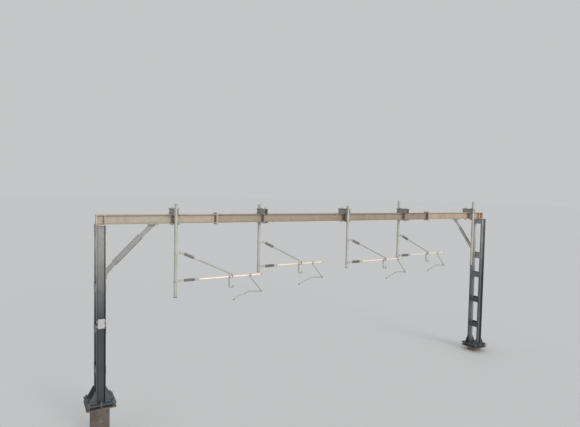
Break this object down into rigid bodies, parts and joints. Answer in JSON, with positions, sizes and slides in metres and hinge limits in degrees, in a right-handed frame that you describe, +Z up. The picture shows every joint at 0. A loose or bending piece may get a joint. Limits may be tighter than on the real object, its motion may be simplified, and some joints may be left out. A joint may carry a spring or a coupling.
{
  "type": "railway overhead line portal",
  "caption": "Railway overhead-line portal: two uprights carry a long boom, with drop tubes and hinged cantilevers that hold the wires over the tracks.",
  "frame": {"origin": "centre of the left pile's foot, at the lowest ground", "axes": "+X along the boom from the left upright to the right one, +Y along the tracks and away from the viewer, +Z up"},
  "size_m": [19.8, 0.9, 8.015],
  "materials": {
    "pile_steel": "weathered galvanised steel",
    "fitting_steel": "galvanised steel plate",
    "upright_steel": "galvanised steel, dull",
    "boom_steel": "galvanised steel, dull and warm",
    "brace_steel": "galvanised steel, dull",
    "clamp_steel": "galvanised steel, dull",
    "drop_tube_steel": "galvanised steel tube, pale",
    "bracket_steel": "galvanised steel casting",
    "identity_white": "bare off-white plate",
    "insulator_grey": "grey silicone sheds",
    "tube_aluminium": "satin aluminium tube",
    "tie_aluminium": "satin aluminium tube",
    "registration_aluminium": "satin cast aluminium",
    "steady_aluminium": "satin aluminium tube"
  },
  "bodies": {
    "portal_frame": {"left_pile": "pile_steel", "right_pile": "pile_steel", "left_base_plate": "fitting_steel", "right_base_plate": "fitting_steel", "left_upright": "upright_steel", "right_upright": "upright_steel", "left_battens": "fitting_steel", "right_battens": "fitting_steel", "boom_left_length": "boom_steel", "boom_middle_length": "boom_steel", "boom_right_length": "boom_steel", "left_knee_brace": "brace_steel", "right_knee_brace": "brace_steel", "drop_tube_1": "drop_tube_steel", "drop_tube_2": "drop_tube_steel", "drop_tube_3": "drop_tube_steel", "drop_tube_4": "drop_tube_steel", "drop_tube_5": "drop_tube_steel", "drop_tube_clamp_1": "clamp_steel", "drop_tube_clamp_2": "clamp_steel", "drop_tube_clamp_3": "clamp_steel", "drop_tube_clamp_4": "clamp_steel", "drop_tube_clamp_5": "clamp_steel", "swivel_brackets": "bracket_steel", "identity_plate": "identity_white"},
    "cantilever_1": {"insulators_1": "insulator_grey", "main_tube_1": "tube_aluminium", "tie_1": "tie_aluminium", "registration_1": "registration_aluminium"},
    "steady_arm_1": {"steady_arm_1": "steady_aluminium"},
    "cantilever_2": {"insulators_2": "insulator_grey", "main_tube_2": "tube_aluminium", "tie_2": "tie_aluminium", "registration_2": "registration_aluminium"},
    "steady_arm_2": {"steady_arm_2": "steady_aluminium"},
    "cantilever_3": {"insulators_3": "insulator_grey", "main_tube_3": "tube_aluminium", "tie_3": "tie_aluminium", "registration_3": "registration_aluminium"},
    "steady_arm_3": {"steady_arm_3": "steady_aluminium"},
    "cantilever_4": {"insulators_4": "insulator_grey", "main_tube_4": "tube_aluminium", "tie_4": "tie_aluminium", "registration_4": "registration_aluminium"},
    "steady_arm_4": {"steady_arm_4": "steady_aluminium"}
  },
  "joints": [
    {"name": "cantilever_swing_1", "type": "hinge", "parent": "portal_frame", "child": "cantilever_1", "pos_m": [2.57, -0.27065, 5.13], "axis": [0, 0, 1], "range_deg": [-90, 90]},
    {"name": "steady_arm_lift_1", "type": "hinge", "parent": "cantilever_1", "child": "steady_arm_1", "pos_m": [5.79, -0.27065, 4.46], "axis": [0, 1, 0], "range_deg": [0, 12]},
    {"name": "cantilever_swing_2", "type": "hinge", "parent": "portal_frame", "child": "cantilever_2", "pos_m": [6.05, 0.27065, 5.33], "axis": [0, 0, 1], "range_deg": [-90, 90]},
    {"name": "steady_arm_lift_2", "type": "hinge", "parent": "cantilever_2", "child": "steady_arm_2", "pos_m": [8.99, 0.27065, 4.66], "axis": [0, 1, 0], "range_deg": [0, 12]},
    {"name": "cantilever_swing_3", "type": "hinge", "parent": "portal_frame", "child": "cantilever_3", "pos_m": [10.03, -0.27065, 5.335], "axis": [0, 0, 1], "range_deg": [-90, 90]},
    {"name": "steady_arm_lift_3", "type": "hinge", "parent": "cantilever_3", "child": "steady_arm_3", "pos_m": [13.36, -0.27065, 4.665], "axis": [0, 1, 0], "range_deg": [0, 12]},
    {"name": "cantilever_swing_4", "type": "hinge", "parent": "portal_frame", "child": "cantilever_4", "pos_m": [13.495, 0.27065, 5.37], "axis": [0, 0, 1], "range_deg": [-90, 90]},
    {"name": "steady_arm_lift_4", "type": "hinge", "parent": "cantilever_4", "child": "steady_arm_4", "pos_m": [16.605, 0.27065, 4.7], "axis": [0, 1, 0], "range_deg": [0, 12]}
  ]
}
